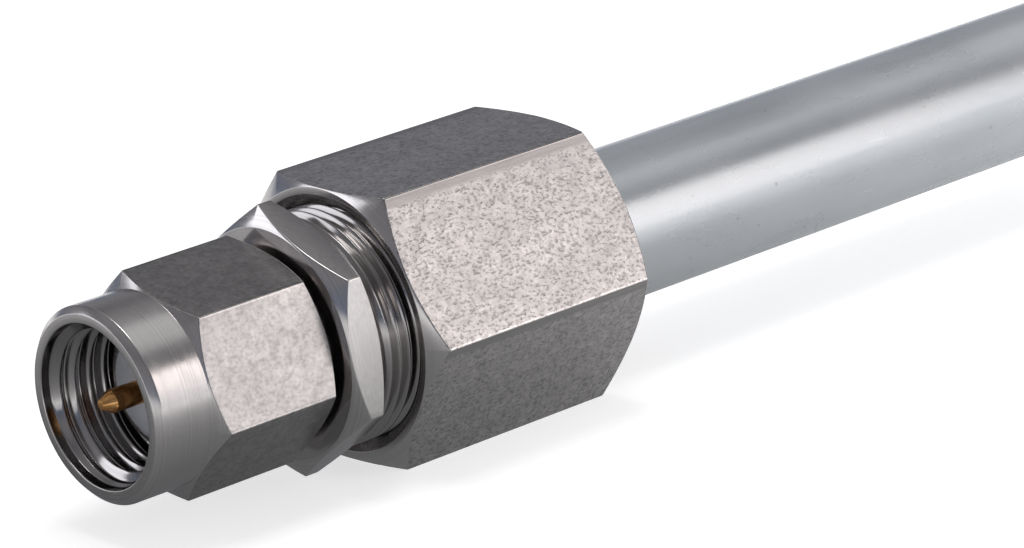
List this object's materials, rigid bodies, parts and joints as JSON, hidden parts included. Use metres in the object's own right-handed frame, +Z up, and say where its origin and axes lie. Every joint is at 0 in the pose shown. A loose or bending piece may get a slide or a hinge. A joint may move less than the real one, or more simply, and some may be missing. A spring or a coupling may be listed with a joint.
{
  "type": "sma connector",
  "caption": "Straight coaxial screw-on plug with a hexagonal coupling nut and a long clamp nut, fitted to a straight length of semi-rigid cable.",
  "frame": {"origin": "on the connector's axis, in the plane that meets the mating half (the front of the mating sleeve)", "axes": "+X along the axis towards the cable, -X out of the mating mouth, +Z up from the clamp nut's flat that it lies on"},
  "size_m": [0.0567, 0.0128, 0.0112],
  "materials": {
    "nut_steel": "turned and milled stainless steel, fine grain",
    "clamp_steel": "milled stainless steel, coarse speckled grain",
    "body_steel": "smooth turned stainless steel",
    "gold_plate": "gold plated",
    "spring_bronze": "bright spring bronze",
    "silver_plate": "silver plated",
    "silicone": "matt dark silicone rubber",
    "ptfe": "satin white PTFE",
    "cable_metal": "matt drawn tube, dull grey"
  },
  "bodies": {
    "connector": {"connector_body": "body_steel", "front_insulator": "ptfe", "rear_insulator": "ptfe", "retaining_ring": "spring_bronze", "face_gasket": "silicone"},
    "coupling_nut": {"coupling_nut": "nut_steel"},
    "cable": {"cable_outer_conductor": "cable_metal", "cable_dielectric": "ptfe", "cable_centre_conductor": "silver_plate", "solder_ferrule": "silver_plate", "centre_contact": "gold_plate"},
    "clamp_nut": {"clamp_nut": "clamp_steel"}
  },
  "joints": [
    {"name": "coupling_nut_spin", "type": "hinge", "parent": "connector", "child": "coupling_nut", "pos_m": [0, 0, 0], "axis": [1, 0, 0], "continuous": true},
    {"name": "cable_withdraw", "type": "slide", "parent": "connector", "child": "cable", "axis": [1, 0, 0], "range_m": [0, 0.004]},
    {"name": "clamp_nut_turn", "type": "hinge", "parent": "cable", "child": "clamp_nut", "pos_m": [0.0148, 0, 0], "axis": [1, 0, 0], "range_deg": [0, 2880]}
  ],
  "couplings": [
    {"joint": "cable_withdraw", "follows": "clamp_nut_turn", "m_per_rad": 0.000079577}
  ]
}
